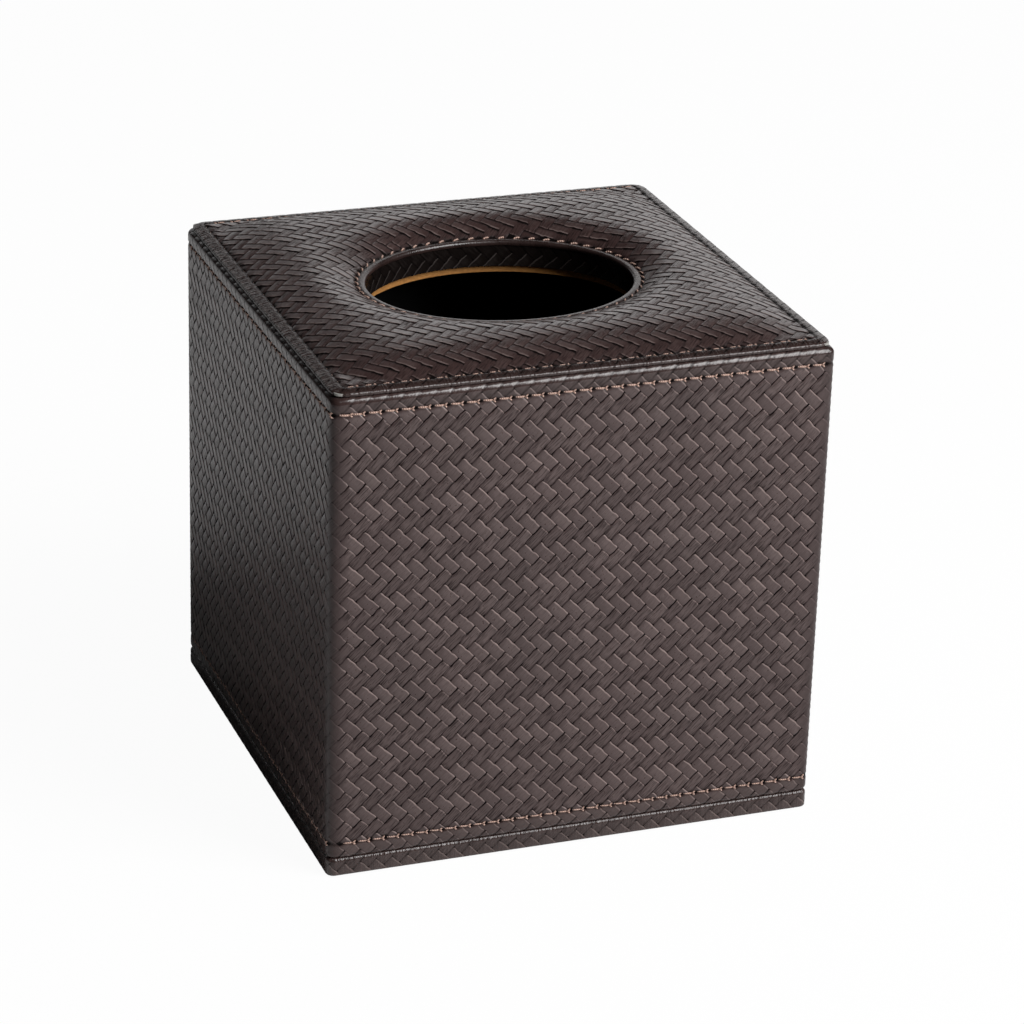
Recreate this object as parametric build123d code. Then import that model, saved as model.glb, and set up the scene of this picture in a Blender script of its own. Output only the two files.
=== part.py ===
from build123d import *
import math
import os

# Woven tissue box cover: a board cube in embossed leather, with a padded top, an oval mouth
# and a base that it tips back from. Origin at the bottom centre, front towards -Y.

# Driving sizes, in millimetres.
width = 135.0  # over the crests of the weave, both ways
leather = 0.5  # sheet below its embossing
emboss = 0.4  # height of the weave
corner_radius = 2.0  # upright edges
roll_radius = 1.2  # leather rolled over the wall edges
wall_thick = 3.0
lining_thick = 0.5

felt_thick = 0.8
felt_proud = 0.3  # the felt stands below the leather, so the box rests on it
base_height = 5.35  # table to the top of the base
base_turn_in = 10.0
base_corner = 1.6  # upright edges of the base, crisper than those of the walls
base_foot_radius = 0.5
wall_height = 126.45  # leather of the walls, top to bottom
top_turn_in = 10.0
top_board_thick = 7.0
panel_inset = 0.7  # the padded top stands in from the walls
card_thick = 0.6
crown = 3.6  # rise of the padded top over its stitch line

mouth_x = 72.0  # clear oval
mouth_y = 60.0
mouth_end = 26.0  # radius of its two narrow ends
binding_width = 2.5
liner_thick = 0.9
liner_drop = 6.0  # from the card down
liner_set_back = 0.4  # behind the lip

strip = 4.6  # woven strip; half again as wide as the real one
weave_valley = 0.08
weave_margin = 1.2  # plain leather between weave and stitches

thread_wide = 0.8
thread_deep = 0.2  # let into the leather
thread_proud = 0.2
wall_stitch_low = 4.2  # above the lower edge of the walls
wall_stitch_high = 4.05  # below their upper edge
top_stitch_inset = 3.1

magnet_long = 20.0
magnet_wide = 2.0
magnet_thick = 1.5
magnet_apart = 70.0

hinge_length = 120.0
hinge_rise = 14.0
hinge_clear = 0.05

# Sizes that follow.
skin = width / 2 - emboss  # plain outer face of the leather
inner = skin - leather  # outer face of the boards
room = inner - wall_thick  # inner face of the boards
wrap_low = felt_proud
base_low = felt_thick
base_high = base_height - leather
wall_low = base_height
wall_high = wall_low + wall_height
board_low = wall_low + leather
board_high = wall_high - leather
card_low = wall_high + leather
card_high = card_low + card_thick
rim_high = card_high + leather
panel_edge = skin - panel_inset
end_centre = mouth_x / 2 - mouth_end
end_gain = mouth_y / 2 - mouth_end
side_centre = (end_centre**2 - end_gain**2) / (2 * end_gain)
side_radius = mouth_y / 2 + side_centre
pad_edge_run = width / 9  # the padding rises to its full height over this
pad_mouth_run = width / 9.6
hole_grow = liner_set_back + liner_thick
panel_roll = (rim_high - wall_high) * 0.45
stitch_low_z = wall_low + wall_stitch_low
stitch_high_z = wall_high - wall_stitch_high
stitch_in = panel_edge - top_stitch_inset
hinge_y = skin + emboss / 2
hinge_high = wall_low + hinge_rise


def slab(half, low, high, radius=0.0):
    """A square plate between two heights, its upright edges rounded by radius."""
    outline = RectangleRounded(2 * half, 2 * half, radius) if radius else Rectangle(2 * half, 2 * half)
    return extrude(Pos(0, 0, low) * outline, high - low)


def block(x0, x1, y0, y1, z0, z1):
    """A box from its two corners."""
    return Pos((x0 + x1) / 2, (y0 + y1) / 2, (z0 + z1) / 2) * Box(x1 - x0, y1 - y0, z1 - z0)


def oval_face(grow):
    """The mouth's shape, wider than the lip by grow all round: four arcs that meet tangent."""
    lean = math.degrees(math.atan2(side_centre, end_centre))
    end = mouth_end + grow
    side = side_radius + grow
    arcs = [
        CenterArc((end_centre, 0), end, -lean, 2 * lean),
        CenterArc((0, -side_centre), side, lean, 180 - 2 * lean),
        CenterArc((-end_centre, 0), end, 180 - lean, 2 * lean),
        CenterArc((0, side_centre), side, 180 + lean, 180 - 2 * lean),
    ]
    return make_face(arcs)


def oval(grow, low, high):
    """A plug of the mouth's shape."""
    return extrude(Pos(0, 0, low) * oval_face(grow), high - low)


def oval_ring(grow_in, grow_out, low, high):
    return oval(grow_out, low, high) - oval(grow_in, low - 1, high + 1)


def rolled(solid, radius, low=True, high=True):
    """Round the lower and upper rims of a plate."""
    levels = solid.edges().group_by(Axis.Z)
    rims = (levels[0] if low else []) + (levels[-1] if high else [])
    return fillet(rims, radius)


def weave(length, low, high):
    """Twill relief on a front wall: saw-tooth ridges that lean one way and back, row by row.

    Each row is the saw-tooth section carried up a slanting line, so the ridges meet in zigzags.
    """
    pitch = strip * math.sqrt(2)
    teeth = math.ceil(length / pitch) + 2
    rows = max(1, round((high - low) / pitch))
    rise = (high - low) / rows
    start = -teeth * pitch / 2
    section = [(start + teeth * pitch, leather / 2), (start, leather / 2)]
    for tooth in range(teeth):
        left = start + tooth * pitch
        section.append((left, -weave_valley))
        section.append((left + 0.82 * pitch, -emboss))
    section.append((start + teeth * pitch, -weave_valley))
    face = make_face(Polyline(*section, close=True))
    ridges = []
    for row in range(rows):
        lean = 1 if row % 2 else -1
        slant = Vector(lean * pitch, 0, rise)
        foot = Pos(-lean * pitch / 2, -skin, low + row * rise) * face
        ridges.append(Solid.extrude(foot.face(), slant))
    sheet = ridges[0].fuse(*ridges[1:])
    panel = block(-length / 2, length / 2, -skin - emboss - 1, -skin + leather, low, high)
    return panel & sheet


def magnet_pair(low):
    """Two bar magnets under the middle of the front wall."""
    bar = Pos(0, -(inner + room) / 2, low + magnet_thick / 2) * Box(magnet_long, magnet_wide, magnet_thick)
    return Pos(-magnet_apart / 2, 0, 0) * bar + Pos(magnet_apart / 2, 0, 0) * bar


def thread_loop(half, low, high, out, into):
    """A flat loop of thread round the box, let into a face."""
    radius = corner_radius
    return slab(half + out, low, high, radius + out) - slab(half - into, low - 1, high + 1, radius - into)


def hinge_recess():
    """The plain strip on the back where the hinge leather lies."""
    long = hinge_length / 2
    return block(-long, long, skin, skin + emboss + 1, 0, hinge_high)


# Base.
base_magnets = magnet_pair(base_high - magnet_thick)
base_board = slab(inner, base_low, base_high, base_corner - leather) - base_magnets
base_felt = slab(skin - base_turn_in, 0, felt_thick)
base_lining = slab(skin - base_turn_in, base_high, base_height)


def make_base_wrap():
    outside = rolled(slab(skin, wrap_low, base_height, base_corner), roll_radius, low=False)
    outside = rolled(outside, base_foot_radius, high=False)
    board = slab(inner, base_low, base_high, base_corner - leather)
    middle = slab(skin - base_turn_in, 0, base_height + 1)
    row = weave(2 * (skin - corner_radius), wrap_low + base_foot_radius, base_height - roll_radius)
    for turn in (0, 90, -90):
        outside += Rot(0, 0, turn) * row
    return outside - board - middle


base_wrap = make_base_wrap()
leaf_top = base_height - emboss / 2 - hinge_clear
hinge_lower_leaf = block(-hinge_length / 2, hinge_length / 2, skin, skin + emboss, base_low, leaf_top)

# Walls.
cover_magnets = magnet_pair(board_low)
long_wall = block(-inner, inner, -inner, -room, board_low, board_high)
corners = long_wall.edges().filter_by(Axis.Z).group_by(Axis.Y)[0]
long_wall = fillet(corners, corner_radius - leather)
front_board = long_wall - cover_magnets
back_board = Rot(0, 0, 180) * long_wall
left_board = block(-inner, -room, -room, room, board_low, board_high)
right_board = Rot(0, 0, 180) * left_board
top_board = slab(room, board_high - top_board_thick, board_high)
top_board -= oval(hole_grow, 0, wall_high)
lining_high = board_high - top_board_thick
wall_lining = slab(room, board_low, lining_high) - slab(room - lining_thick, 0, wall_high)

# Stitch rows of the walls. The lower one stops at the hinge.
half_thread = thread_wide / 2
wall_top_thread = thread_loop(
    skin, stitch_high_z - half_thread, stitch_high_z + half_thread, thread_proud, thread_deep
)
wall_bottom_thread = thread_loop(
    skin, stitch_low_z - half_thread, stitch_low_z + half_thread, thread_proud, thread_deep
)
wall_bottom_thread -= block(-width, width, skin - corner_radius, width, 0, wall_high)


def make_side_wrap():
    outside = rolled(slab(skin, wall_low, wall_high, corner_radius), roll_radius)
    weave_low = stitch_low_z + half_thread + weave_margin
    weave_high = stitch_high_z - half_thread - weave_margin
    panel = weave(2 * (skin - corner_radius), weave_low, weave_high)
    outside = outside.fuse(*[Rot(0, 0, turn) * panel for turn in (0, 90, 180, 270)])
    outside -= slab(inner, board_low, board_high, corner_radius - leather)
    outside -= slab(room, 0, board_high)
    outside -= slab(inner - top_turn_in, 0, wall_high + 1)
    return outside - wall_top_thread - wall_bottom_thread - hinge_recess()


side_wrap = make_side_wrap()
axle = Pos(0, hinge_y, wall_low) * Rot(0, 90, 0) * Cylinder(emboss / 2, hinge_length)
hinge_upper_leaf = axle + block(
    -hinge_length / 2, hinge_length / 2, skin, skin + emboss, wall_low, hinge_high
)

# Padded top.
panel_infill = slab(inner - top_turn_in, board_high, card_low) - oval(hole_grow, 0, card_high)
panel_card = slab(panel_edge - leather, card_low, card_high, corner_radius - leather)
panel_card -= oval(leather, 0, card_high + 1)
mouth_liner = oval_ring(liner_set_back, hole_grow, card_low - liner_drop, card_low)


def hump(sink):
    """The padded crown: a rounded square mound with an oval dish round the mouth, lowered by sink."""
    edge = stitch_in - half_thread - sink
    mound = []
    for run, up in [(0.0, 0.0), (0.23, 0.55), (0.53, 0.88), (1.0, 1.0)]:
        inset = run * pad_edge_run
        square = RectangleRounded(2 * (edge - inset), 2 * (edge - inset), 4 + inset)
        mound.append(Pos(0, 0, rim_high + crown * up - sink) * square)
    brim = binding_width + half_thread + sink
    dish = []
    for run, up in [(0.0, 0.0), (0.21, 0.5), (0.54, 0.86), (1.0, 1.02)]:
        dish.append(Pos(0, 0, rim_high + crown * up - sink) * oval_face(brim + run * pad_mouth_run))
    return loft(mound, ruled=True) - loft(dish, ruled=True)


top_pad = hump(leather) & slab(inner, card_high, rim_high + crown)
binding_flat = oval_ring(0, binding_width, card_high, rim_high)
lip = binding_flat.faces().sort_by(Axis.Z)[-1].inner_wires()[0]
mouth_binding = fillet(lip.edges(), 0.8 * leather) + oval_ring(0, leather, card_low, card_high)
top_thread = thread_loop(stitch_in, rim_high - thread_deep, rim_high + thread_proud, half_thread, half_thread)
mouth_thread = oval_ring(
    binding_width - half_thread, binding_width + half_thread, rim_high - thread_deep, rim_high + thread_proud
)
mouth_binding -= mouth_thread


def make_top_cover():
    rim = rolled(slab(panel_edge, wall_high, rim_high, corner_radius), panel_roll)
    sheet = rim + hump(0)
    sheet -= slab(panel_edge - leather, card_low, card_high, corner_radius - leather)
    sheet -= slab(inner - top_turn_in, 0, card_low)
    sheet -= oval(binding_width, 0, rim_high + 2 * crown)
    return sheet - top_pad - top_thread - mouth_thread


top_cover = make_top_cover()

os.makedirs("parts", exist_ok=True)
pieces = {
    "base_board": base_board,
    "base_wrap": base_wrap,
    "base_lining": base_lining,
    "base_felt": base_felt,
    "base_magnets": base_magnets,
    "hinge_lower_leaf": hinge_lower_leaf,
    "front_board": front_board,
    "back_board": back_board,
    "left_board": left_board,
    "right_board": right_board,
    "top_board": top_board,
    "side_wrap": side_wrap,
    "wall_lining": wall_lining,
    "panel_infill": panel_infill,
    "panel_card": panel_card,
    "top_pad": top_pad,
    "top_cover": top_cover,
    "mouth_binding": mouth_binding,
    "mouth_liner": mouth_liner,
    "wall_top_thread": wall_top_thread,
    "wall_bottom_thread": wall_bottom_thread,
    "top_thread": top_thread,
    "mouth_thread": mouth_thread,
    "cover_magnets": cover_magnets,
    "hinge_upper_leaf": hinge_upper_leaf,
}
for node, shape in pieces.items():
    export_step(shape, f"parts/{node}.step")
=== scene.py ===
import math
import bpy
import numpy as np
from mathutils import Matrix, Vector


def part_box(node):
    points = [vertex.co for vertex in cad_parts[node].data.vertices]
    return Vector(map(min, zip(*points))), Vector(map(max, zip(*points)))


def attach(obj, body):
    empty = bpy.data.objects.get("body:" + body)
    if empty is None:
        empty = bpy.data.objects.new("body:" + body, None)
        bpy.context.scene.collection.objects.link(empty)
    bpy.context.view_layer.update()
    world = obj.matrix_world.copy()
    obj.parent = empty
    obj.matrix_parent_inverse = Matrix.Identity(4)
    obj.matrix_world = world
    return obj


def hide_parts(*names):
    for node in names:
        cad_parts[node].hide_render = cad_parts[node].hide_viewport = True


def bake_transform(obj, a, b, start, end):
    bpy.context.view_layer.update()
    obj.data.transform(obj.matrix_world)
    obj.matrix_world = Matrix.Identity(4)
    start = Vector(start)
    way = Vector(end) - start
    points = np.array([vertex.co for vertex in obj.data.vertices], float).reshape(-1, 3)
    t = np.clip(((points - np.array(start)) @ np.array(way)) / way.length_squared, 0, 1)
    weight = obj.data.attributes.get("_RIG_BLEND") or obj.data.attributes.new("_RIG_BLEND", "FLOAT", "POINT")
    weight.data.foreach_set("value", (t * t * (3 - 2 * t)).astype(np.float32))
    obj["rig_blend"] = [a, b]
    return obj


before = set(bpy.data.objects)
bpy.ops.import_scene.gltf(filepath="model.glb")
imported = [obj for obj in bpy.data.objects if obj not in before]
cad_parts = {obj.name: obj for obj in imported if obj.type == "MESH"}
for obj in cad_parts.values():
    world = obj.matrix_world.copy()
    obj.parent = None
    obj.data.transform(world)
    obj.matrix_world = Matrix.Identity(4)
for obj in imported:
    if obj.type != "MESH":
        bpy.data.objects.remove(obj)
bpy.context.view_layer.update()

# Side wrap: one sheet of dark brown leather embossed as a two-over-two twill, glued round the four
# wall boards and rolled over their upper and lower edges. Sizes here and below are in millimetres.
half = 1000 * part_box("front_board")[1][0] + 0.5  # plain face of the leather
corner = 2.0
wall_low, wall_high = (1000 * z for z in (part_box("side_wrap")[0][2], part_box("side_wrap")[1][2]))
straight = 2 * (half - corner)
quarter = straight + math.pi * corner / 2
around = 4 * quarter
cell_pitch = around / 126  # one strip of the weave, measured level; a whole number goes round the box
low_row, high_row = (
    500 * (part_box(n)[0][2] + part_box(n)[1][2]) for n in ("wall_bottom_thread", "wall_top_thread")
)
low_stitches, high_stitches = 136, 126
low_shift, high_shift = -1.1, 0.56  # first needle hole, from the middle of the front
weave_u, weave_v = 5.54, 7.38  # where the weave starts on the front
foot_roll, head_roll, deepest_roll = 1.2, 1.65, 1.7  # radius of the leather over the boards' edges
past_edge = 0.57  # how far a roll of radius 1 runs on past its edge before it lies level
hinge_half = 1000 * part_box("hinge_upper_leaf")[1][0] + 0.3
hinge_top = 1000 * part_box("hinge_upper_leaf")[1][2] + 0.2


def twill(u, v):
    """Height of the weave, and its strip coordinates and strength, at u along and v up the sheet.

    Strips at 45 degrees are counted by s (down to the right) and t (up to the right). A strip of one
    set lies over two of the other and under the next two, one further along in each strip, so turn, the
    difference of the counts modulo 4, tells the cells apart: 0 and 1 are the halves of a falling float,
    3 and 2 those of a rising one. Every float is crowned across its width, rises along t to a lip, and
    dips at its s ends.
    """
    s, t = (u + weave_u - v - weave_v) / cell_pitch, (u + weave_u + v + weave_v) / cell_pitch
    j, i = np.floor(s), np.floor(t)
    in_s, in_t = s - j, t - i
    turn = np.mod(j - i, 4).astype(int)
    falling = turn < 2
    cut = np.array([0.06, 0.0, 0.11, 0.05])[turn] * np.clip(1 - in_s / 0.09, 0, 1)
    cut = cut + np.array([0.0, 0.11, 0.05, 0.06])[turn] * np.clip(1 - (1 - in_s) / 0.09, 0, 1)
    lip = np.array([0.045, 0.036, 0.028, 0.0])[turn] * np.clip((in_t - 0.86) / 0.09, 0, 1)
    along = np.where(falling, in_t, (in_t + (turn == 2)) / 2)
    across = np.where(falling, in_t, in_s)
    height = np.where(falling, 0.18, 0.14) + 0.09 * along + 0.3 * across * (1 - across) + lip - cut
    return height, np.stack([s, t, np.ones_like(s)], -1)


def strip_grid(u0, u1, v0, v1, lines=(0.003, 0.09, 0.45, 0.86, 0.95)):
    """Points and quads of a net laid along the strips, so that its lines run beside every chip's edges.

    The net is turned 45 degrees in the u, v plane; points and quads past the rectangle are left to the
    caller to trim.
    """
    c = np.array([(u0, v0), (u1, v0), (u0, v1), (u1, v1)]) + (weave_u, weave_v)
    s, t = (
        (np.arange(math.floor(span.min()) - 1, math.ceil(span.max()) + 1)[:, None] + np.array(lines)).ravel()
        for span in ((c[:, 0] - c[:, 1]) / cell_pitch, (c[:, 0] + c[:, 1]) / cell_pitch)
    )
    S, T = np.meshgrid(s, t, indexing="ij")
    u = (S + T) * cell_pitch / 2 - weave_u
    v = (T - S) * cell_pitch / 2 - weave_v
    n = np.arange(S.size).reshape(S.shape)
    quads = np.stack([n[:-1, :-1], n[1:, :-1], n[1:, 1:], n[:-1, 1:]], -1).reshape(-1, 4)
    return u.ravel(), v.ravel(), quads


def kept(points, quads, outside):
    """Drops the quads that lie wholly outside, and the points that no quad uses any more."""
    quads = quads[~outside[quads].all(axis=1)]
    used, quads = np.unique(quads, return_inverse=True)
    return [p[used] for p in points], quads.reshape(-1, 4)


def band_quads(rows, columns, closed):
    """Quads of a grid of rows by columns, joined up across the last column where it is closed."""
    n = np.arange(rows * columns).reshape(rows, columns)
    right = np.roll(n, -1, axis=1) if closed else n[:, 1:]
    left = n if closed else n[:, :-1]
    return np.stack([left[:-1], right[:-1], right[1:], left[1:]], -1).reshape(-1, 4)


def wall_line(u):
    """Place and outward direction, in plan, at u round the box: four straights and four quarter arcs."""
    k = np.floor((u + straight / 2) / quarter)
    along = u + straight / 2 - k * quarter
    bend = np.clip((along - straight) / corner, 0, None)
    x = np.minimum(along, straight) - straight / 2 + corner * np.sin(bend)
    y = -half + corner * (1 - np.cos(bend))
    turn = k * math.pi / 2
    c, s = np.cos(turn), np.sin(turn)
    nx, ny = np.sin(bend), -np.cos(bend)
    return c * x - s * y, s * x + c * y, c * nx - s * ny, s * nx + c * ny


def wall_section(p, low, high, roll_low, roll_high):
    """Section of a rolled sheet at p: p is the height on the flat, and runs on round a quarter circle at
    each edge and then inwards. Gives the set-back, the height and the direction of the surface."""
    up = np.clip(p - (high - roll_high), 0, None)
    down = np.clip((low + roll_low) - p, 0, None)
    over, under = np.minimum(up / roll_high, math.pi / 2), np.minimum(down / roll_low, math.pi / 2)
    past = np.clip(up - roll_high * math.pi / 2, 0, None) + np.clip(down - roll_low * math.pi / 2, 0, None)
    back = -roll_high * (1 - np.cos(over)) - roll_low * (1 - np.cos(under)) - past
    z = np.clip(p, low + roll_low, high - roll_high) + roll_high * np.sin(over) - roll_low * np.sin(under)
    return back, z, np.cos(over - under), np.sin(over - under)


def sewn(distance, along, pitch):
    """Depth of the sewn channel at a distance from a row, and the painted shade laid along it: a groove with
    a bell-shaped section, deeper and with more painted shade at the needle holes."""
    hole = np.cos(math.pi * along / pitch) ** 6
    groove = np.exp(-((distance / 0.5) ** 2))
    return (0.14 + 0.1 * hole) * groove, (0.45 + 1.5 * hole) * groove


def on_wall(u, back, z, out, rise, height):
    """Points of a sheet round the box: rounded square in plan, height taken along the normal. The leather
    is pressed flat under the hinge strip at the back, and where it is turned in behind a rolled edge it
    shrinks evenly towards the middle."""
    x, y, nx, ny = wall_line(u)
    turned_in = np.minimum(back + deepest_roll, 0)
    height = np.where((ny > 0.9) & (np.abs(x) < hinge_half) & (z < hinge_top), -0.06, height)
    height = np.where(turned_in < 0, 0, height)
    d = back - turned_in + height * out
    shrink = 1 + turned_in / (half - deepest_roll)
    return np.stack([shrink * (x + nx * d), shrink * (y + ny * d), z + height * rise], -1)


def wall_leather(u, p, press=1.0):
    """The walls' surface: rolled section, weave and both sewn channels with their painted shade. The weave
    flattens towards the corners, which get painted shade, and everywhere where press is below 1."""
    back, z, out, rise = wall_section(p, wall_low, wall_high, foot_roll, head_roll)
    height, cell = twill(u, p)
    from_corner = quarter / 2 - np.abs(np.mod(u + quarter / 2, quarter) - quarter / 2)
    flat = np.clip((from_corner - 0.6) / 3.0, 0.25, 1)
    # Painted shade along the rounded corners, where the weave flattens.
    height, dark = press * flat * height, 0.45 * (1 - flat)
    cell[..., 2] = press * flat
    # The sewn channels sink the leather and add painted shade, most at the needle holes.
    for row, count, shift in ((low_row, low_stitches, low_shift), (high_row, high_stitches, high_shift)):
        depth, hole = sewn(p - row, u - shift, around / count)
        height = height * (1 - np.clip(depth * 2.5, 0, 0.9)) - depth
        dark = dark + hole
    return on_wall(u, back, z, out, rise, height), dark, cell


def smooth_piece(name, points, quads, material):
    """An object made of these quads, with its points taken from millimetres to metres."""
    mesh = bpy.data.meshes.new(name)
    mesh.from_pydata(points.reshape(-1, 3) * 0.001, [], quads)
    mesh.shade_smooth()
    mesh.materials.append(material)
    piece = bpy.data.objects.new(name, mesh)
    bpy.context.collection.objects.link(piece)
    return piece


def leather_piece(name, points, quads, dark, cell, material):
    """A smooth piece whose points keep the painted shade laid on them and their place in the weave."""
    piece = smooth_piece(name, points, quads, material)
    kept_on = piece.data.attributes
    kept_on.new("dark", "FLOAT", "POINT").data.foreach_set("value", dark.astype(np.float32).ravel())
    kept_on.new("cell", "FLOAT_VECTOR", "POINT").data.foreach_set("vector", cell.astype(np.float32).ravel())
    return piece


def node_maker(tree):
    """Functions that add nodes to a material: attribute, noise, arithmetic, and a fade from 0 to 1."""

    def feed(socket, value):
        if isinstance(value, bpy.types.NodeSocket):
            tree.links.new(value, socket)
        else:
            socket.default_value = value

    def attribute(name, output):
        node = tree.nodes.new("ShaderNodeAttribute")
        node.attribute_name = name
        return node.outputs[output]

    def noise(vector, scale, detail, output="Fac"):
        node = tree.nodes.new("ShaderNodeTexNoise")
        node.inputs["Scale"].default_value = scale
        node.inputs["Detail"].default_value = detail
        tree.links.new(vector, node.inputs["Vector"])
        return node.outputs[output]

    def calc(operation, *values):
        node = tree.nodes.new("ShaderNodeMath")
        node.operation = operation
        for socket, value in zip(node.inputs, values):
            feed(socket, value)
        return node.outputs["Value"]

    def fade(value, zero, one, low=0.0, high=1.0):
        node = tree.nodes.new("ShaderNodeMapRange")
        for name, setting in (("From Min", zero), ("From Max", one), ("To Min", low), ("To Max", high)):
            node.inputs[name].default_value = setting
        tree.links.new(value, node.inputs["Value"])
        return node.outputs["Result"]

    return attribute, noise, calc, fade


def woven_leather(name, chip, crevice_shade, edge, rough, grained, crimp=0.0, ends=1.0, line=(0.07, 0.35)):
    """Leather coloured by its place in the weave: painted shade in the crevices, the chip's own colour, and
    a painted highlight on the lips.

    The strip coordinates wander a little, so that no edge is ruled. Each float has rounded corners drawn in
    painted shade, a cut of painted shade at its s ends, a painted highlight on the lip at its t end with a
    line of painted shade beyond it, painted shade where it comes out from under its neighbour, and a tone of
    its own; rising floats are scored along their length. The painted shade carried by the dark attribute is
    taken off the tone. Gloss fades in the cuts, and the grain is bump. crimp adds the fine ribs of leather
    that is rolled over an edge, ends is how strong the painted shade of the cuts is, and line how wide and
    how strong the painted shade of the lines.
    """
    m = bpy.data.materials.new(name)
    m.use_nodes = True
    tree = m.node_tree
    nodes, link = tree.nodes, tree.links.new
    attribute, noise, calc, fade = node_maker(tree)
    face = nodes["Principled BSDF"]
    place = nodes.new("ShaderNodeTexCoord").outputs["Object"]
    cell = attribute("cell", "Vector")
    moved = nodes.new("ShaderNodeVectorMath")
    moved.operation = "MULTIPLY_ADD"
    moved.inputs[1].default_value = (0.16, 0.16, 0)
    link(noise(cell, 1.9, 0, "Color"), moved.inputs[0])
    link(cell, moved.inputs[2])
    part = nodes.new("ShaderNodeSeparateXYZ")
    link(moved.outputs["Vector"], part.inputs["Vector"])
    press = part.outputs["Z"]
    s, t = calc("SUBTRACT", part.outputs["X"], 0.08), calc("SUBTRACT", part.outputs["Y"], 0.08)
    j, i, a, b = calc("FLOOR", s), calc("FLOOR", t), calc("FRACT", s), calc("FRACT", t)
    turn = calc("FRACT", calc("DIVIDE", calc("SUBTRACT", j, i), 4))
    first, second, upper, lower = (calc("COMPARE", turn, k / 4, 0.1) for k in range(4))
    falling = calc("ADD", first, second)

    def weigh(*weights):
        total = 0.0
        for half_float, weight in zip((first, second, upper, lower), weights):
            total = calc("MULTIPLY_ADD", half_float, weight, total)
        return total

    # Painted shade between the chips: cuts at the floats' s ends, a line at their t start, rounded corners.
    cut = calc("MULTIPLY", fade(a, 0.1, 0.02, 0, ends), weigh(0.5, 0, 1.15, 0.5))
    cut = calc("MULTIPLY_ADD", fade(a, 0.9, 0.98, 0, ends), weigh(0, 1.15, 0.5, 0.5), cut)
    cut = calc("MULTIPLY_ADD", fade(b, line[0], 0.02, 0, line[1]), weigh(1, 1, 0, 1.4), cut)
    long = calc("ADD", calc("MULTIPLY", falling, calc("ADD", a, second)),
                calc("MULTIPLY", calc("SUBTRACT", 1, falling), calc("ADD", b, upper)))
    wide = calc("ADD", calc("MULTIPLY", falling, b), calc("MULTIPLY", calc("SUBTRACT", 1, falling), a))
    end = fade(calc("ABSOLUTE", calc("SUBTRACT", long, 1)), 0.74, 1)
    side = fade(calc("ABSOLUTE", calc("SUBTRACT", wide, 0.5)), 0.24, 0.5)
    rounding = calc("SQRT", calc("ADD", calc("MULTIPLY", end, end), calc("MULTIPLY", side, side)))
    cut = calc("MULTIPLY_ADD", fade(rounding, 0.98, 1.12), 0.7 * ends, cut)
    # Painted highlight: the lip along each float's t end is painted lighter, where light would catch it.
    lip = calc("MULTIPLY", fade(b, 0.84, 0.92), fade(b, 0.99, 0.96))
    lip = calc("MULTIPLY", lip, weigh(0.8, 0.65, 0.5, 0))
    lip = calc("MULTIPLY", lip, fade(cut, 0.5, 0))
    shade = calc("MULTIPLY", fade(b, 0.5, 0), weigh(0.15, 0.1, 0, 0.3))
    shade = calc("MULTIPLY_ADD", fade(a, 0.5, 0), weigh(0.2, 0, 0, 0), shade)
    start = nodes.new("ShaderNodeCombineXYZ")
    link(calc("SUBTRACT", j, second), start.inputs["X"])
    link(calc("SUBTRACT", i, upper), start.inputs["Y"])
    chance = nodes.new("ShaderNodeTexWhiteNoise")
    link(start.outputs["Vector"], chance.inputs["Vector"])
    stretch = nodes.new("ShaderNodeMapping")
    stretch.inputs["Scale"].default_value = (12.0, 0.8, 0)
    link(cell, stretch.inputs["Vector"])
    streak = fade(noise(stretch.outputs["Vector"], 1, 2), 0.36, 0.52, -0.5, 0.12)
    tone = calc("MULTIPLY_ADD", chance.outputs["Value"], 0.16, -0.08)
    tone = calc("ADD", tone, weigh(0.08, 0.08, -0.05, -0.05))
    tone = calc("MULTIPLY_ADD", streak, calc("MULTIPLY_ADD", falling, -0.75, 1), tone)
    tone = calc("SUBTRACT", calc("ADD", tone, lip), calc("ADD", cut, shade))
    # The dark attribute is painted shade: sewn channels and needle holes, the walls' corners, the rim's flat.
    tone = calc("SUBTRACT", calc("MULTIPLY", tone, press), attribute("dark", "Fac"))
    spread = fade(tone, -1.2, 1.2)
    # The ramp runs from the painted shade of the crevices through the chip's own colour to the painted
    # highlight.
    dye = nodes.new("ShaderNodeValToRGB")
    dye.color_ramp.elements[0].position = 0.05
    dye.color_ramp.elements[0].color = (*crevice_shade, 1)
    dye.color_ramp.elements[1].position = 1.0
    dye.color_ramp.elements[1].color = (*edge, 1)
    middle = dye.color_ramp.elements.new(0.5)
    middle.color = (*chip, 1)
    link(spread, dye.inputs["Fac"])
    worn = nodes.new("ShaderNodeVectorMath")
    worn.operation = "SCALE"
    link(dye.outputs["Color"], worn.inputs[0])
    link(fade(noise(place, 38, 1), 0, 1, 0.86, 1.14), worn.inputs["Scale"])
    link(worn.outputs["Vector"], face.inputs["Base Color"])
    link(fade(spread, 0.1, 0.5, 0.04, 0.5), face.inputs["Specular IOR Level"])
    grain = noise(place, 1250, 2)
    dull = fade(spread, 0.1, 0.45, 0.4 * line[1], 0)
    link(calc("ADD", fade(grain, 0, 1, rough - 0.06, rough + 0.08), dull), face.inputs["Roughness"])
    bump = nodes.new("ShaderNodeBump")
    bump.inputs["Strength"].default_value = 0.5 * grained
    bump.inputs["Distance"].default_value = 0.0002
    link(grain, bump.inputs["Height"])
    link(bump.outputs["Normal"], face.inputs["Normal"])
    if crimp:
        along = nodes.new("ShaderNodeVectorMath")
        along.operation = "DOT_PRODUCT"
        along.inputs[1].default_value = (1, 1, 0)
        link(cell, along.inputs[0])
        rib = nodes.new("ShaderNodeTexNoise")
        rib.noise_dimensions = "1D"
        rib.inputs["Scale"].default_value = 2.6
        rib.inputs["Detail"].default_value = 3
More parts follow.
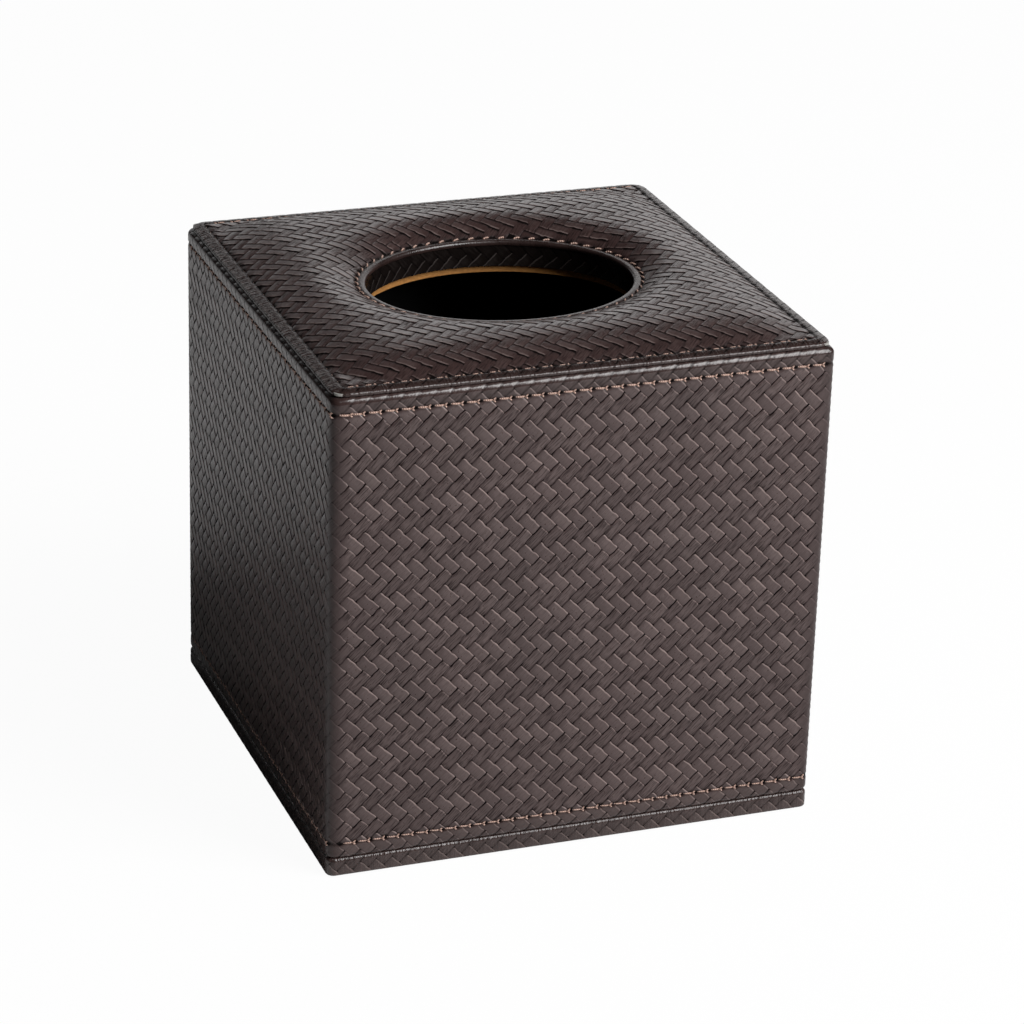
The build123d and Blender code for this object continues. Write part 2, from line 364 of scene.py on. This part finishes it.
        link(along.outputs["Value"], rib.inputs["W"])
        ribs = nodes.new("ShaderNodeBump")
        ribs.inputs["Strength"].default_value = crimp
        ribs.inputs["Distance"].default_value = 0.0008
        link(rib.outputs["Fac"], ribs.inputs["Height"])
        link(bump.outputs["Normal"], ribs.inputs["Normal"])
        link(ribs.outputs["Normal"], face.inputs["Normal"])
    return m


weave_shade = (0.003, 0.002, 0.002)  # painted shade: colour at the bottom of the weave, where shade falls in the crevices
# Each woven leather: chip colour, painted shade of the crevices, painted highlight of the lips.
brown = woven_leather(
    "brown_woven_leather", (0.048, 0.028, 0.0265), weave_shade, (0.27, 0.205, 0.19), rough=0.29, grained=0.65
)
brown_edge = woven_leather(
    "brown_rolled_leather", (0.042, 0.0245, 0.0225), weave_shade, (0.2, 0.15, 0.14), rough=0.18, grained=0.3,
    crimp=0.05
)
sharp = math.radians(33)  # the chips' edges stay crisp

for name, first in (("wall_leather_front_left", -1.5), ("wall_leather_back_right", 0.5)):
    u0 = first * quarter + math.pi * corner / 4
    u1 = u0 + 2 * quarter
    u, p, quads = strip_grid(u0, u1, low_row, high_row)
    (u, p), quads = kept([u, p], quads, (p < low_row) | (p > high_row) | (u < u0) | (u > u1))
    u, p = np.clip(u, u0, u1), np.clip(p, low_row, high_row)
    points, dark, cell = wall_leather(u, p)
    wall_wrap = leather_piece(name, points, quads, dark, cell, brown)
    wall_wrap.data.set_sharp_from_angle(angle=sharp)
    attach(wall_wrap, "cover")
    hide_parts("side_wrap")

round_box = np.arange(1260) * around / 1260 - around / 2
level_low, level_high = wall_low - past_edge * foot_roll, wall_high + past_edge * head_roll
upper_rows = np.linspace(high_row, level_high + 0.5, 24)
lower_rows = np.linspace(level_low - 0.6, low_row, 18)
under_boards = level_low - 2.6  # where the turned-in edge ends
for name, rows in (("wall_upper_edge", upper_rows), ("wall_lower_edge", np.append(under_boards, lower_rows))):
    U, R = np.meshgrid(round_box, rows)
    points, dark, cell = wall_leather(U.ravel(), R.ravel(), press=0.8)
    edge = leather_piece(name, points, band_quads(*U.shape, True), dark, cell, brown_edge)
    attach(edge, "cover")
    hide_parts("side_wrap")

# Base wrap: a band of the same leather glued round the edge of the base board, rolled over it above and
# below and turned in as far as the lining and the felt, which cover its ends.
base_low, base_high = (1000 * z for z in (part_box("base_wrap")[0][2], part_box("base_wrap")[1][2]))
base_roll, base_foot = 1.1, 0.5
base_high -= 0.12  # leaves a dark joint under the walls
# Each woven leather: chip colour, painted shade of the crevices, painted highlight of the lips.
brown_crimped = woven_leather(
    "brown_crimped_leather", (0.036, 0.021, 0.019), weave_shade, (0.17, 0.125, 0.115), rough=0.22, grained=0.3,
    crimp=0.3
)
level_low, level_high = base_low - past_edge * base_foot, base_high + past_edge * base_roll
rows = np.linspace(level_low - 1.3, level_high + 0.7, 30)
rows = np.concatenate([[level_low - 9.4], rows, [level_high + 8.8]])  # turned in to the felt and the lining
U, R = np.meshgrid(round_box, rows)
back, z, out, rise = wall_section(R.ravel(), base_low, base_high, base_foot, base_roll)
height, cell = twill(U.ravel(), R.ravel() - 0.6)
cell[..., 2] = 0.7
points = on_wall(U.ravel(), back, z, out, np.maximum(rise, 0), 0.5 * height)  # flat underneath
base_wrap = leather_piece("base_leather", points, band_quads(*U.shape, True), 0 * height, cell, brown_crimped)
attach(base_wrap, "base")
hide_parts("base_wrap")

# Padded top: the same leather over foam, sewn down along the rim and round the mouth, so it swells
# between the two rows of stitches. Its rim is turned round the edge of a card.
rim = 1000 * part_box("panel_card")[1][2] + 0.5
panel_edge = 1000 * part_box("top_cover")[1][0]
sewn_half = 1000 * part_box("top_thread")[1][0] - 0.4
crown = 1000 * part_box("top_cover")[1][2] - rim
lip_x, lip_y = 36.0, 30.0
binding = 2.5
top_stitches, mouth_stitches = 110, 57
top_pitch = 8 * sewn_half / top_stitches
top_shift = 0.8
weave_on = 3.2  # the top's weave is turned half round from the front's, and shifted by this
edge_fall, brim_fall = 19.0, 13.0  # width over which the pad falls to its outer and inner stitches


def swell(x, y):
    """Rise of the padded top: full in the middle of the pad, and falling as a parabola to the stitches along
    the rim and round the mouth."""
    ax, ay = np.abs(x), np.abs(y)
    reach = (ax**8 + ay**8) ** (1 / 8)
    edge = np.clip((sewn_half - reach) / edge_fall, 0, 1)
    a, b = lip_x + binding, lip_y + binding
    q = np.sqrt((x / a) ** 2 + (y / b) ** 2) + 1e-9
    gap = (q - 1) * np.sqrt(x**2 + y**2) / q
    brim = np.clip(gap / brim_fall, 0, 1)
    return crown * 0.93 * (1 - (1 - edge) ** 2) * (1 - (1 - brim) ** 2)


def top_leather(x, y):
    """The top's surface over the sewn square: the swelling, with the weave on it, less the channels of both
    stitch rows, which also carry painted shade."""
    height, cell = twill(-x, weave_on - y)
    ring = np.sqrt((x / (lip_x + binding)) ** 2 + (y / (lip_y + binding)) ** 2)
    gap = (ring - 1) * np.sqrt(x**2 + y**2) / np.maximum(ring, 1e-6)
    angle = np.arctan2(y / (lip_y + binding), x / (lip_x + binding))
    d1, h1 = sewn(gap, angle, 2 * math.pi / mouth_stitches)
    inset = sewn_half - np.maximum(np.abs(x), np.abs(y))
    along = np.where(np.abs(x) > np.abs(y), y, x)
    d2, h2 = sewn(inset, along - top_shift, top_pitch)
    depth = np.maximum(d1, d2)
    height = height * (1 - np.clip(depth * 2.5, 0, 0.9)) - depth
    return np.stack([x, y, rim + swell(x, y) + 0.9 * height], -1), np.maximum(h1, h2), cell


x, y, quads = strip_grid(-sewn_half, sewn_half, weave_on - sewn_half, weave_on + sewn_half)
x, y = -x, weave_on - y
ring = np.sqrt((x / (lip_x + binding)) ** 2 + (y / (lip_y + binding)) ** 2)
outside = (np.maximum(np.abs(x), np.abs(y)) > sewn_half + 0.02) | (ring < 0.9995)
(x, y, ring), quads = kept([x, y, ring], quads, outside)
pull = np.where(ring < 1, 1 / np.maximum(ring, 0.5), 1.0)
x = np.clip(x * pull, -sewn_half, sewn_half)
y = np.clip(y * pull, -sewn_half, sewn_half)
# Each woven leather: chip colour, painted shade of the crevices, painted highlight of the lips.
brown_padded = woven_leather(
    "brown_padded_leather", (0.038, 0.021, 0.0195), weave_shade, (0.2, 0.15, 0.14), rough=0.29, grained=0.65,
    ends=0.35, line=(0.3, 1.1)
)
points, dark, cell = top_leather(x, y)
top = leather_piece("top_leather", points, quads, dark, cell, brown_padded)
top.data.set_sharp_from_angle(angle=sharp)
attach(top, "cover")
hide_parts("top_cover", "top_pad")

# The rim runs out flat from the stitches, rolls down over the card's edge and turns in under it.
edge_roll = 0.8
edge_drop = (rim - wall_high) / 2 - 0.22  # leaves a dark joint over the walls
flat = panel_edge - sewn_half - edge_roll
tucked = flat + edge_roll * math.pi
path = np.concatenate([np.linspace(0, flat, 9)[:-1], np.linspace(flat, tucked + 0.5, 17)])
turn = np.clip((path - flat) / edge_roll, 0, math.pi)
out = np.minimum(path, flat) + edge_roll * np.sin(turn)
dome = 0.1 - 0.4 * np.minimum(path / flat, 1) ** 2
drop = edge_drop * (1 - np.cos(turn)) - dome
out = out - np.clip(path - tucked, 0, None)
side = np.linspace(-sewn_half, sewn_half, 300)[:-1]
far = np.full_like(side, sewn_half)
square_x = np.concatenate([side, far, -side, -far])
square_y = np.concatenate([-far, side, far, -side])
length = np.concatenate([side, side, -side, -side])
bend = 1.2
core = sewn_half - bend
cx, cy = np.clip(square_x, -core, core), np.clip(square_y, -core, core)
dx, dy = square_x - cx, square_y - cy
norm = np.hypot(dx, dy)
dx, dy = dx / norm, dy / norm
O = np.broadcast_to(out[:, None], (len(out), len(square_x)))
DX, DY = np.broadcast_to(dx, O.shape), np.broadcast_to(dy, O.shape)
start_x = np.where(O < 0.01, square_x, cx + bend * dx)
start_y = np.where(O < 0.01, square_y, cy + bend * dy)
P = np.broadcast_to(path[:, None], O.shape)
height, cell = twill(start_x + DX * P, start_y + DY * P + weave_on)
depth, dark = sewn(P, np.broadcast_to(length, O.shape) - top_shift, top_pitch)
cell[..., 1] *= np.where(np.abs(square_x) > np.abs(square_y), -1, 1)  # ribs cross the rim at the sides too
cell[..., 2] = 0.6
dark = dark + 0.35 * np.clip((flat + 0.3 - P) / 0.6, 0, 1)  # painted shade on the flat of the rim beside the stitches, which also takes its gloss down
height = 0.5 * height * (1 - np.clip(depth * 2.5, 0, 0.9)) - 0.5 * depth
T = np.broadcast_to(turn[:, None], O.shape)
reach, level = O + height * np.sin(T), rim - drop[:, None] + height * np.cos(T)
points = np.stack([start_x + DX * reach, start_y + DY * reach, level], -1)
rim_edge = leather_piece("top_rim", points, band_quads(*O.shape, True)[:, ::-1], dark, cell, brown_crimped)
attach(rim_edge, "cover")
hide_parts("top_cover")

# Mouth binding: a narrow ring of plain, smoother leather, laid on the padded top, sewn down all round and
# turned over the edge of the oval hole, where it makes a small bead.
def round_mouth(grow, z, count):
    """Rings of points on the mouth's oval, one for each pair of grow and z, at even angles."""
    angle = np.arange(count) * 2 * math.pi / count
    G, A = np.meshgrid(grow, angle, indexing="ij")
    Z = np.broadcast_to(np.asarray(z)[:, None], G.shape)
    return np.stack([(lip_x + G) * np.cos(A), (lip_y + G) * np.sin(A), Z], -1)


def grained_leather(name, colour, rough):
    """Plain leather: pebbled grain as bump, a little uneven in colour and gloss."""
    m = bpy.data.materials.new(name)
    m.use_nodes = True
    nodes, link = m.node_tree.nodes, m.node_tree.links.new
    face = nodes["Principled BSDF"]
    place = nodes.new("ShaderNodeTexCoord")
    pebble = nodes.new("ShaderNodeTexVoronoi")
    pebble.inputs["Scale"].default_value = 1900
    link(place.outputs["Object"], pebble.inputs["Vector"])
    cloud = nodes.new("ShaderNodeTexNoise")
    cloud.inputs["Scale"].default_value = 260
    cloud.inputs["Detail"].default_value = 5
    link(place.outputs["Object"], cloud.inputs["Vector"])
    dye = nodes.new("ShaderNodeValToRGB")
    dye.color_ramp.elements[0].position = 0.3
    dye.color_ramp.elements[0].color = (*(0.6 * c for c in colour), 1)
    dye.color_ramp.elements[1].position = 0.7
    dye.color_ramp.elements[1].color = (*(1.3 * c for c in colour), 1)
    link(cloud.outputs["Fac"], dye.inputs["Fac"])
    link(dye.outputs["Color"], face.inputs["Base Color"])
    gloss = nodes.new("ShaderNodeMapRange")
    gloss.inputs["To Min"].default_value = rough - 0.08
    gloss.inputs["To Max"].default_value = rough + 0.1
    link(cloud.outputs["Fac"], gloss.inputs["Value"])
    link(gloss.outputs["Result"], face.inputs["Roughness"])
    bump = nodes.new("ShaderNodeBump")
    bump.inputs["Strength"].default_value = 0.25
    bump.inputs["Distance"].default_value = 0.00015
    link(pebble.outputs["Distance"], bump.inputs["Height"])
    link(bump.outputs["Normal"], face.inputs["Normal"])
    return m


plain = grained_leather("plain_brown_leather", (0.026, 0.015, 0.0135), 0.27)
bead, bead_round = 0.75, np.linspace(0, math.pi / 2, 7)
flat_out = [binding + 0.1, binding - 0.35, 1.9, 1.2]
grow = np.concatenate([flat_out, bead - bead * np.sin(bead_round), [0.02, 0.1]])
z = np.concatenate([[-0.35, -0.05, 0.12, 0.14], bead * np.cos(bead_round) - 0.63, [-0.95, -1.2]])
points = round_mouth(grow, rim + z, 240)
mouth_ring = smooth_piece("mouth_ring", points, band_quads(*points.shape[:2], True)[:, ::-1], plain)
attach(mouth_ring, "cover")
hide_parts("mouth_binding")

# Mouth liner: a strip of the woven leather, darker and glossier, glued down the inside of the hole under
# the binding. The raw edge of the board shows below it.
liner_low, liner_high = (1000 * z for z in (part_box("mouth_liner")[0][2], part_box("mouth_liner")[1][2]))
liner_rows, liner_columns, mean_radius = 18, 640, 34
points = round_mouth(np.full(liner_rows, 0.4), np.linspace(liner_low, liner_high, liner_rows), liner_columns)
steps = np.hypot(*(np.roll(points[0, :, :2], -1, axis=0) - points[0, :, :2]).T)
length = np.cumsum(steps) - steps
length = length * round(steps.sum() / cell_pitch) * cell_pitch / steps.sum()  # the weave closes on itself
height, cell = twill(np.broadcast_to(length, points.shape[:2]), points[..., 2])
points[..., :2] = points[..., :2] * (1 - (0.5 * height / mean_radius)[..., None])
# Each woven leather: chip colour, painted shade of the crevices, painted highlight of the lips.
liner_leather = woven_leather(
    "dark_glossy_leather", (0.007, 0.005, 0.0045), (0.002, 0.0015, 0.0015), (0.06, 0.05, 0.047),
    rough=0.17, grained=0.4
)
quads = band_quads(*points.shape[:2], True)[:, ::-1]
liner = leather_piece("mouth_strip", points, quads, 0 * height, cell, liner_leather)
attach(liner, "cover")
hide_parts("mouth_liner")

# Stitch rows: pinkish tan sewing thread, one short bight of thread for each stitch, its ends pulled
# down into the needle holes.
def twisted_thread():
    """Two-ply thread: stripes along the twist in colour and bump."""
    m = bpy.data.materials.new("tan_thread")
    m.use_nodes = True
    nodes, link = m.node_tree.nodes, m.node_tree.links.new
    face = nodes["Principled BSDF"]
    face.inputs["Roughness"].default_value = 0.55
    twist = nodes.new("ShaderNodeAttribute")
    twist.attribute_name = "twist"
    wave = nodes.new("ShaderNodeMath")
    wave.operation = "SINE"
    link(twist.outputs["Fac"], wave.inputs[0])
    dye = nodes.new("ShaderNodeValToRGB")
    dye.color_ramp.elements[0].color = (0.26, 0.14, 0.1, 1)
    dye.color_ramp.elements[1].color = (0.54, 0.38, 0.32, 1)
    spread = nodes.new("ShaderNodeMapRange")
    spread.inputs["From Min"].default_value = -1.0
    link(wave.outputs["Value"], spread.inputs["Value"])
    link(spread.outputs["Result"], dye.inputs["Fac"])
    link(dye.outputs["Color"], face.inputs["Base Color"])
    bump = nodes.new("ShaderNodeBump")
    bump.inputs["Strength"].default_value = 0.6
    bump.inputs["Distance"].default_value = 0.0002
    link(spread.outputs["Result"], bump.inputs["Height"])
    link(bump.outputs["Normal"], face.inputs["Normal"])
    return m


thread = twisted_thread()


def stitches(name, at, along, normal, long, thick, slant, node):
    """A row of stitches: each a tube of six sides on a low arch, turned by slant out of the row's line."""
    side = np.cross(normal, along)
    along = math.cos(slant) * along + math.sin(slant) * side
    side = np.cross(normal, along)
    xi = np.linspace(-1, 1, 7)[None, :, None]
    turn = (np.arange(6) * math.pi / 3)[None, None, :]
    lift = 0.30 - 0.75 * np.abs(xi) ** 3.0
    girth = 0.5 * thick * np.sqrt(1 - 0.55 * xi**6)
    up = (lift + girth * np.cos(turn))[..., None]
    across = (girth * np.sin(turn))[..., None]
    run = np.broadcast_to(xi * long / 2, up.shape[:3])[..., None]
    at, along, normal, side = (v[:, None, None] for v in (at, along, normal, side))
    points = at + along * run + normal * up + side * across
    twist = np.broadcast_to(xi * long * 5.5 + turn, points.shape[:3])
    quads = (band_quads(7, 6, True)[None] + 42 * np.arange(len(at))[:, None, None]).reshape(-1, 4)
    piece = smooth_piece(name, points, quads, thread)
    kept_on = piece.data.attributes.new("twist", "FLOAT", "POINT")
    kept_on.data.foreach_set("value", twist.astype(np.float32).ravel())
    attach(piece, "cover")
    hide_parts(node)


def sewn_row(name, at, along, normal, thick, slant, node):
    """Stitches, each with two short bights at its end, where the under thread comes up through the hole."""
    side = np.cross(normal, along)
    end = at + 1.3 * along + 1.3 * math.tan(slant) * side
    stitches(name, at, along, normal, 3.3, thick, slant, node)
    for suffix, lean in (("_up", 0.75), ("_down", -0.75)):
        fork = end + 0.35 * along + 0.4 * math.sin(lean) * side
        stitches(name + suffix, fork, along, normal, 1.6, 0.48, lean, node)


for name, row, count, shift, thick, sunk, node in (
    ("upper_wall_stitches", high_row, high_stitches, high_shift, 0.58, 0.2, "wall_top_thread"),
    ("lower_wall_stitches", low_row, low_stitches, low_shift, 0.46, 0.22, "wall_bottom_thread"),
):
    u = (np.arange(count) + 0.5) * around / count + shift
    local = np.mod(u + quarter / 2, quarter) - quarter / 2
    inside = np.clip(local, 1.1 - straight / 2, straight / 2 - 1.1)
    x, y, nx, ny = wall_line(u - local + inside)
    keep = (np.abs(local) < straight / 2 + 0.5) & ((y < half - corner) | (node == "wall_top_thread"))
    zero = np.zeros_like(x)
    at = np.stack([x - sunk * nx, y - sunk * ny, zero + row], -1)[keep]
    along, normal = np.stack([-ny, nx, zero], -1)[keep], np.stack([nx, ny, zero], -1)[keep]
    sewn_row(name, at, along, normal, thick, -0.07, node)

u = (np.arange(-14, 14) + 0.5) * top_pitch + top_shift
u = u[np.abs(u) < sewn_half - 1.2]
front_level, side_level = np.full_like(u, rim - 0.3), np.full_like(u, rim - 0.55)
zero, one, edge = np.zeros_like(u), np.ones_like(u), np.full_like(u, sewn_half)
sides = (
    (u, -edge, front_level, one, zero),
    (edge, u, side_level, zero, one),
    (-u, edge, front_level, -one, zero),
    (-edge, -u, side_level, zero, -one),
)
at = np.concatenate([np.stack([x, y, z], -1) for x, y, z, dx, dy in sides])
along = np.concatenate([np.stack([dx, dy, zero], -1) for x, y, z, dx, dy in sides])
upright = np.array((0.0, 0.0, 1.0))
sewn_row("top_stitches", at, along, np.broadcast_to(upright, at.shape), 0.55, 0.07, "top_thread")

angle = (np.arange(mouth_stitches) + 0.5) * 2 * math.pi / mouth_stitches
a, b = lip_x + binding, lip_y + binding
at = np.stack([a * np.cos(angle), b * np.sin(angle), np.full_like(angle, rim - 0.05)], -1)
along = np.stack([-a * np.sin(angle), b * np.cos(angle), 0 * angle], -1)
along /= np.linalg.norm(along, axis=1)[:, None]
stitches("mouth_stitches", at, along, np.broadcast_to(upright, at.shape), 3.0, 0.5, 0.5, "mouth_thread")

# Hinge: one strip of plain leather glued across the back of the walls and the base, which bends at the
# line between them.
hinge_long = 60.0
hinge_low, hinge_high = 1000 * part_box("hinge_lower_leaf")[0][2], 1000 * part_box("hinge_upper_leaf")[1][2]
loop = np.linspace(hinge_low, hinge_high, 48)
U, V = np.meshgrid(np.linspace(-hinge_long, hinge_long, 61), loop)
end = np.clip(np.minimum(np.minimum(V - hinge_low, hinge_high - V), hinge_long - np.abs(U)) / 0.5, 0, 1)
lift = 0.38 * np.sqrt(1 - (1 - end) ** 2) - 0.1 * np.exp(-(((V - wall_low) / 0.9) ** 2))
points = np.stack([-U, half + lift, V], -1)
hinge = smooth_piece("hinge_strip", points, band_quads(*U.shape, False), plain)
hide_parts("hinge_lower_leaf", "hinge_upper_leaf")
bend_low, bend_high = ((0, half / 1000, (wall_low + reach) / 1000) for reach in (-1.2, 1.2))
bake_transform(hinge, "base", "cover", start=bend_low, end=bend_high)


# Boards, linings, felt and magnets: raw fibreboard whose edge shows in the mouth, black flocked lining,
# black felt under the base, grey card in the top, and plated bar magnets along the front.
def fibrous(name, low, high, scale, stretch, rough, strength):
    """A matt surface of fibres: stretched noise in colour and bump."""
    m = bpy.data.materials.new(name)
    m.use_nodes = True
    nodes, link = m.node_tree.nodes, m.node_tree.links.new
    face = nodes["Principled BSDF"]
    face.inputs["Roughness"].default_value = rough
    place = nodes.new("ShaderNodeTexCoord")
    lay = nodes.new("ShaderNodeMapping")
    lay.inputs["Scale"].default_value = stretch
    link(place.outputs["Object"], lay.inputs["Vector"])
    fibre = nodes.new("ShaderNodeTexNoise")
    fibre.inputs["Scale"].default_value = scale
    fibre.inputs["Detail"].default_value = 6
    fibre.inputs["Roughness"].default_value = 0.65
    link(lay.outputs["Vector"], fibre.inputs["Vector"])
    dye = nodes.new("ShaderNodeValToRGB")
    dye.color_ramp.elements[0].position = 0.3
    dye.color_ramp.elements[0].color = (*low, 1)
    dye.color_ramp.elements[1].position = 0.7
    dye.color_ramp.elements[1].color = (*high, 1)
    link(fibre.outputs["Fac"], dye.inputs["Fac"])
    link(dye.outputs["Color"], face.inputs["Base Color"])
    bump = nodes.new("ShaderNodeBump")
    bump.inputs["Strength"].default_value = strength
    bump.inputs["Distance"].default_value = 0.0003
    link(fibre.outputs["Fac"], bump.inputs["Height"])
    link(bump.outputs["Normal"], face.inputs["Normal"])
    return m


board = fibrous("raw_fibreboard", (0.22, 0.09, 0.016), (0.42, 0.19, 0.045), 900, (1, 1, 2.5), 0.8, 0.4)
flock = fibrous("black_flock", (0.006, 0.006, 0.006), (0.016, 0.016, 0.017), 4200, (1, 1, 1), 0.95, 0.5)
felt = fibrous("black_felt", (0.008, 0.008, 0.009), (0.03, 0.03, 0.032), 1500, (1, 1, 1), 0.95, 0.8)
card = fibrous("grey_card", (0.2, 0.19, 0.175), (0.34, 0.33, 0.31), 700, (1, 1, 3), 0.85, 0.2)
plating = fibrous("plated_magnet", (0.42, 0.42, 0.43), (0.58, 0.58, 0.59), 400, (1, 12, 1), 0.3, 0.05)
plating.node_tree.nodes["Principled BSDF"].inputs["Metallic"].default_value = 1.0
for material, names in (
    (board, ("front_board", "back_board", "left_board", "right_board", "top_board", "base_board")),
    (flock, ("wall_lining", "base_lining")),
    (felt, ("base_felt",)),
    (card, ("panel_card", "panel_infill")),
    (plating, ("base_magnets", "cover_magnets")),
):
    for name in names:
        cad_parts[name].data.materials.clear()
        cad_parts[name].data.materials.append(material)

# Camera, floor and light: a long lens from the front left, above the box, on a white ground. One soft box
# stands in front on the right, and two behind give the sheen on the top.
camera = bpy.data.objects.new("camera", bpy.data.cameras.new("camera"))
camera.data.lens = 130.377
camera.data.sensor_width = 36
view = Matrix(
    ((0.94008, 0.11045, -0.32257), (-0.33980, 0.38185, -0.85951), (0.02825, 0.91761, 0.39650))
).to_4x4()
view.translation = (-0.31943, -0.86556, 0.46517)
camera.matrix_world = view
bpy.context.collection.objects.link(camera)
bpy.context.scene.camera = camera

floor_mesh = bpy.data.meshes.new("floor")
floor_mesh.from_pydata([(-6, -6, 0), (6, -6, 0), (6, 6, 0), (-6, 6, 0)], [], [(0, 1, 2, 3)])
floor = bpy.data.objects.new("floor", floor_mesh)
bpy.context.collection.objects.link(floor)
paper = bpy.data.materials.new("white_paper")
paper.use_nodes = True
nodes, link = paper.node_tree.nodes, paper.node_tree.links.new
nodes["Principled BSDF"].inputs["Base Color"].default_value = (0.9, 0.9, 0.9, 1)
nodes["Principled BSDF"].inputs["Roughness"].default_value = 0.9
glow = nodes.new("ShaderNodeEmission")
glow.inputs["Strength"].default_value = 1.0
ray = nodes.new("ShaderNodeLightPath")
share = nodes.new("ShaderNodeMath")
share.operation = "MULTIPLY"
share.inputs[1].default_value = 0.96
blend = nodes.new("ShaderNodeMixShader")
link(ray.outputs["Is Camera Ray"], share.inputs[0])
link(share.outputs["Value"], blend.inputs["Fac"])
link(nodes["Principled BSDF"].outputs["BSDF"], blend.inputs[1])
link(glow.outputs["Emission"], blend.inputs[2])
link(blend.outputs["Shader"], nodes["Material Output"].inputs["Surface"])
floor_mesh.materials.append(paper)

world = bpy.data.worlds.new("studio")
bpy.context.scene.world = world
world.use_nodes = True
nodes, link = world.node_tree.nodes, world.node_tree.links.new
air = nodes["Background"]
air.inputs["Color"].default_value = (1, 1, 1, 1)
air.inputs["Strength"].default_value = 0.02
white = nodes.new("ShaderNodeBackground")
white.inputs["Strength"].default_value = 1.0
ray = nodes.new("ShaderNodeLightPath")
blend = nodes.new("ShaderNodeMixShader")
link(ray.outputs["Is Camera Ray"], blend.inputs["Fac"])
link(air.outputs["Background"], blend.inputs[1])
link(white.outputs["Background"], blend.inputs[2])
link(blend.outputs["Shader"], nodes["World Output"].inputs["Surface"])


def soft_box(name, place, target, wide, tall, watts):
    """A rectangular lamp at place that faces target."""
    lamp = bpy.data.lights.new(name, "AREA")
    lamp.shape = "RECTANGLE"
    lamp.size, lamp.size_y = wide, tall
    lamp.energy = watts
    obj = bpy.data.objects.new(name, lamp)
    aim = (Vector(place) - Vector(target)).to_track_quat("Z", "Y")
    obj.matrix_world = Matrix.Translation(place) @ aim.to_matrix().to_4x4()
    bpy.context.collection.objects.link(obj)


soft_box("backdrop_light", (1.6, 2.3, 0.72), (0, 0, 0.1), 2.2, 1.3, 11.2)
soft_box("backdrop_fill", (-0.15, 2.6, 0.5), (0, 0, 0.1), 1.3, 0.8, 2.8)
soft_box("key_light", (0.99, -1.1, 1.3), (0, 0, 0.07), 1.05, 1.6, 56)
bpy.context.scene.view_settings.view_transform = "Standard"
